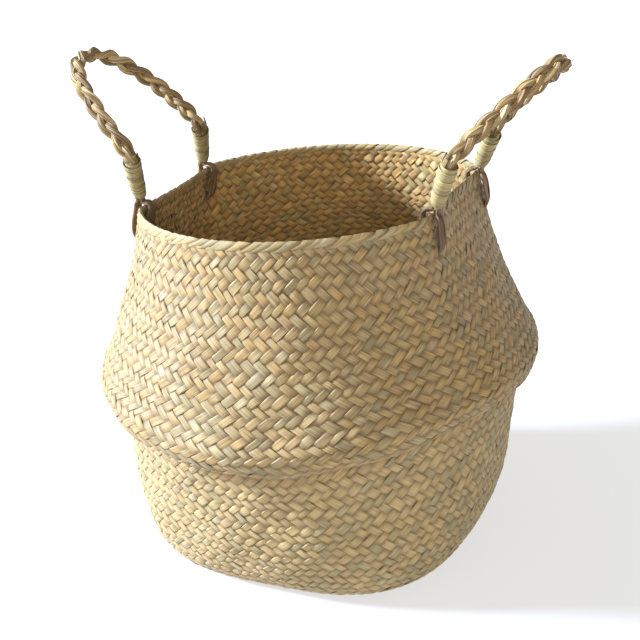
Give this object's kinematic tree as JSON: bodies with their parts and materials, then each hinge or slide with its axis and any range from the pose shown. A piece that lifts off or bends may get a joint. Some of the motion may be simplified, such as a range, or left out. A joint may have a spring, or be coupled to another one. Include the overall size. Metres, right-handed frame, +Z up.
{
  "type": "storage basket",
  "caption": "Soft plaited seagrass storage basket with a belly folded over a narrower base and two plaited handles with bound feet.",
  "frame": {"origin": "centre of the base's underside, on the floor", "axes": "+Z up out of the mouth; the handles stand over +X and -X; -Y is the side nearest the picture's camera"},
  "size_m": [0.3018, 0.27, 0.3079],
  "materials": {
    "wall_plait": "plaited straw, tan and olive-brown dried blades, matt with a faint sheen",
    "base_plait": "plaited dried blades, matt",
    "border": "pale folded blade held by slanted stitches",
    "tan_strand": "bundle of dried tan-brown blades, fibrous",
    "dark_strand": "bundle of dried brown blades, fibrous",
    "binding_strip": "pale yellow-green wound strip, smooth with a soft sheen",
    "eye_blade": "dark brown dried blade"
  },
  "bodies": {
    "lower": {"lower_wall": "wall_plait", "base_mat": "base_plait"},
    "upper": {"upper_wall": "wall_plait", "rim_border": "border", "belly_fold": "wall_plait", "right_front_eye_1": "eye_blade", "right_front_eye_2": "eye_blade", "right_back_eye_1": "eye_blade", "right_back_eye_2": "eye_blade", "left_front_eye_1": "eye_blade", "left_front_eye_2": "eye_blade", "left_back_eye_1": "eye_blade", "left_back_eye_2": "eye_blade"},
    "right_handle": {"right_handle_strand_1": "tan_strand", "right_handle_strand_2": "dark_strand", "right_handle_strand_3": "tan_strand", "right_front_binding": "binding_strip", "right_back_binding": "binding_strip"},
    "left_handle": {"left_handle_strand_1": "tan_strand", "left_handle_strand_2": "dark_strand", "left_handle_strand_3": "tan_strand", "left_front_binding": "binding_strip", "left_back_binding": "binding_strip"}
  },
  "joints": [
    {"name": "belly_press", "type": "slide", "parent": "lower", "child": "upper", "axis": [0, 0, 1], "range_m": [-0.03, 0], "deforming": ["belly_fold"]},
    {"name": "right_handle_swing", "type": "hinge", "parent": "upper", "child": "right_handle", "pos_m": [0.09361, -0.03904, 0.23143], "axis": [0, 0.9988, -0.0484], "range_deg": [-100, 105], "deforming": ["right_front_eye_1", "right_front_eye_2", "right_back_eye_1", "right_back_eye_2"]},
    {"name": "left_handle_swing", "type": "hinge", "parent": "upper", "child": "left_handle", "pos_m": [-0.08922, -0.03904, 0.22474], "axis": [0, -0.9988, 0.0484], "range_deg": [-65, 116], "deforming": ["left_front_eye_1", "left_front_eye_2", "left_back_eye_1", "left_back_eye_2"]}
  ]
}
